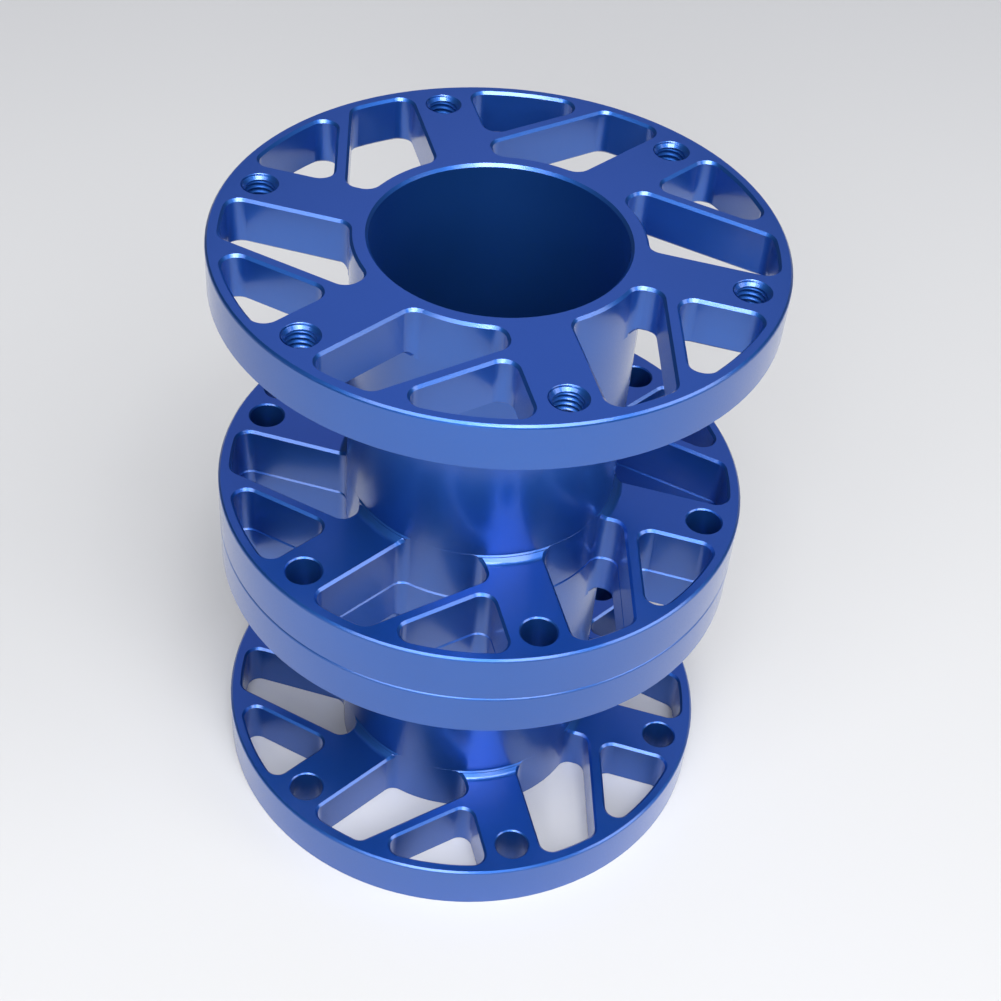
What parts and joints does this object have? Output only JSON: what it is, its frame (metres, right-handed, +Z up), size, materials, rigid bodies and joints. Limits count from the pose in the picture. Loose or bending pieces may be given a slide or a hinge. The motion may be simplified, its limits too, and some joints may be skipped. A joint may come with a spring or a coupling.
{
  "type": "flanged hub spacer stack",
  "caption": "Stack of identical blue anodised hub spacers on one bore axis, each a tube neck between windowed flanges, with plain bolt holes in the lower flange and threaded ones in the upper.",
  "frame": {"origin": "middle of the stack's bottom face, on the bore axis", "axes": "+Z up along the bore axis, from the plain-hole flange to the threaded flange; +X over a bolt hole of every flange"},
  "size_m": [0.08, 0.08, 0.1],
  "materials": {
    "blue_anodised_aluminium": "bead-blasted and blue anodised, satin"
  },
  "bodies": {
    "lower": {"lower_spool": "blue_anodised_aluminium"},
    "upper": {"upper_spool": "blue_anodised_aluminium"}
  },
  "joints": [
    {"name": "stack_lift", "type": "slide", "parent": "lower", "child": "upper", "axis": [0, 0, 1], "range_m": [0, 0.06]}
  ]
}
